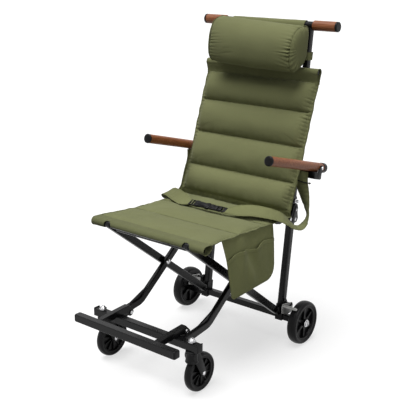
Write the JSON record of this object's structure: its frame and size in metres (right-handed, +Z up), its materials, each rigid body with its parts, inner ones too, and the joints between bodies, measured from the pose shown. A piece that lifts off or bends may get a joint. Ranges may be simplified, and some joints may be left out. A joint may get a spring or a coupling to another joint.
{
  "type": "folding transport chair",
  "caption": "Folding transport chair with scissor frame, channelled back, head pillow, lifting armrests, footrest and casters.",
  "frame": {"origin": "on the floor, centred between the two sides and between the footrest bar's front and the grips' rear", "axes": "+Z up, the sitter faces -Y, +X is the sitter's left"},
  "size_m": [0.5574, 0.7472, 1.0816],
  "materials": {
    "frame_black": "satin",
    "moulded_black": "matte",
    "tyre_black": "matte",
    "bright_steel": "polished",
    "wood_brown": "satin",
    "canvas_olive": "matte",
    "webbing_olive": "matte"
  },
  "bodies": {
    "rear_frame": {"rear_cross_bar": "frame_black", "upright_left": "frame_black", "base_bracket_left": "moulded_black", "rear_axle_left": "bright_steel", "upright_right": "frame_black", "base_bracket_right": "moulded_black", "rear_axle_right": "bright_steel"},
    "brace_frame": {"front_seat_tube": "frame_black", "seat_cross_bar": "frame_black", "seat": "canvas_olive", "side_pocket": "canvas_olive", "brace_left": "frame_black", "scissor_bolt_left": "bright_steel", "brace_right": "frame_black", "scissor_bolt_right": "bright_steel"},
    "leg_frame": {"front_cross_bar": "frame_black", "seat_rear_tube": "frame_black", "belt_left": "webbing_olive", "belt_right": "webbing_olive", "buckle_socket": "moulded_black", "leg_left": "frame_black", "stem_bolt_left": "bright_steel", "leg_right": "frame_black", "stem_bolt_right": "bright_steel"},
    "footrest": {"footrest_bar": "frame_black", "footrest_arm_left": "frame_black", "footrest_arm_right": "frame_black"},
    "mast_carriage": {"mast_left": "frame_black", "mast_right": "frame_black"},
    "back_frame": {"top_bar": "moulded_black", "sleeve_bar": "frame_black", "back_cover": "canvas_olive", "head_pillow": "canvas_olive", "post_left": "frame_black", "grip_left": "wood_brown", "arm_bracket_left": "moulded_black", "post_right": "frame_black", "grip_right": "wood_brown", "arm_bracket_right": "moulded_black"},
    "buckle_half": {"buckle_tongue": "moulded_black"},
    "rear_wheel_left": {"rear_tyre_left": "tyre_black", "rear_hub_left": "moulded_black"},
    "brake_left": {"brake_lever_left": "bright_steel"},
    "caster_fork_left": {"caster_fork_left": "moulded_black"},
    "caster_wheel_left": {"caster_tyre_left": "tyre_black", "caster_hub_left": "moulded_black"},
    "armrest_left": {"armrest_core_left": "moulded_black", "armrest_wood_left": "wood_brown"},
    "latch_left": {"latch_pin_left": "bright_steel"},
    "rear_wheel_right": {"rear_tyre_right": "tyre_black", "rear_hub_right": "moulded_black"},
    "brake_right": {"brake_lever_right": "bright_steel"},
    "caster_fork_right": {"caster_fork_right": "moulded_black"},
    "caster_wheel_right": {"caster_tyre_right": "tyre_black", "caster_hub_right": "moulded_black"},
    "armrest_right": {"armrest_core_right": "moulded_black", "armrest_wood_right": "wood_brown"},
    "latch_right": {"latch_pin_right": "bright_steel"}
  },
  "joints": [
    {"name": "frame_fold", "type": "hinge", "parent": "rear_frame", "child": "brace_frame", "pos_m": [0, 0.21977, 0.1013], "axis": [-1, 0, 0], "range_deg": [0, 43], "deforming": ["seat", "belt_left", "belt_right"]},
    {"name": "leg_fold", "type": "hinge", "parent": "brace_frame", "child": "leg_frame", "pos_m": [0, -0.00723, 0.275], "axis": [-1, 0, 0], "range_deg": [-82.1, 0], "deforming": ["seat", "belt_left", "belt_right"]},
    {"name": "mast_slide", "type": "slide", "parent": "rear_frame", "child": "mast_carriage", "axis": [0, 0.1136, 0.9935], "range_m": [0, 0.2126]},
    {"name": "backrest_fold", "type": "hinge", "parent": "mast_carriage", "child": "back_frame", "pos_m": [0, 0.288, 0.452], "axis": [1, 0, 0], "range_deg": [0, 75], "deforming": ["belt_left", "belt_right", "back_cover"]},
    {"name": "footrest_fold", "type": "hinge", "parent": "leg_frame", "child": "footrest", "pos_m": [0, -0.21883, 0.1686], "axis": [-1, 0, 0], "range_deg": [0, 95]},
    {"name": "buckle_release", "type": "slide", "parent": "leg_frame", "child": "buckle_half", "axis": [1, 0, 0], "range_m": [0, 0.024], "deforming": ["belt_right"]},
    {"name": "rear_wheel_left_spin", "type": "hinge", "parent": "rear_frame", "child": "rear_wheel_left", "pos_m": [-0.252, 0.24457, 0.075], "axis": [1, 0, 0], "continuous": true},
    {"name": "brake_left_press", "type": "hinge", "parent": "rear_frame", "child": "brake_left", "pos_m": [-0.203, 0.24377, 0.129], "axis": [1, 0, 0], "range_deg": [0, 12.9]},
    {"name": "caster_left_swivel", "type": "hinge", "parent": "leg_frame", "child": "caster_fork_left", "pos_m": [-0.1854, -0.26773, 0.1475], "axis": [0, 0, 1], "continuous": true},
    {"name": "caster_left_spin", "type": "hinge", "parent": "caster_fork_left", "child": "caster_wheel_left", "pos_m": [-0.1854, -0.23173, 0.0625], "axis": [1, 0, 0], "continuous": true},
    {"name": "armrest_left_lift", "type": "hinge", "parent": "back_frame", "child": "armrest_left", "pos_m": [-0.2455, 0.30237, 0.60856], "axis": [-1, 0, 0], "range_deg": [0, 82]},
    {"name": "latch_left_pull", "type": "slide", "parent": "back_frame", "child": "latch_left", "axis": [-1, 0, 0], "range_m": [0, 0.008], "stiffness_N_per_m": 400},
    {"name": "rear_wheel_right_spin", "type": "hinge", "parent": "rear_frame", "child": "rear_wheel_right", "pos_m": [0.252, 0.24457, 0.075], "axis": [1, 0, 0], "continuous": true},
    {"name": "brake_right_press", "type": "hinge", "parent": "rear_frame", "child": "brake_right", "pos_m": [0.203, 0.24377, 0.129], "axis": [1, 0, 0], "range_deg": [0, 12.9]},
    {"name": "caster_right_swivel", "type": "hinge", "parent": "leg_frame", "child": "caster_fork_right", "pos_m": [0.1854, -0.26773, 0.1475], "axis": [0, 0, 1], "continuous": true},
    {"name": "caster_right_spin", "type": "hinge", "parent": "caster_fork_right", "child": "caster_wheel_right", "pos_m": [0.1854, -0.23173, 0.0625], "axis": [1, 0, 0], "continuous": true},
    {"name": "armrest_right_lift", "type": "hinge", "parent": "back_frame", "child": "armrest_right", "pos_m": [0.2455, 0.30237, 0.60856], "axis": [-1, 0, 0], "range_deg": [0, 82]},
    {"name": "latch_right_pull", "type": "slide", "parent": "back_frame", "child": "latch_right", "axis": [1, 0, 0], "range_m": [0, 0.008], "stiffness_N_per_m": 400}
  ],
  "couplings": [
    {"joint": "leg_fold", "follows": "frame_fold", "ratio": -1.8855},
    {"joint": "mast_slide", "follows": "frame_fold", "m_per_rad": 0.282}
  ]
}
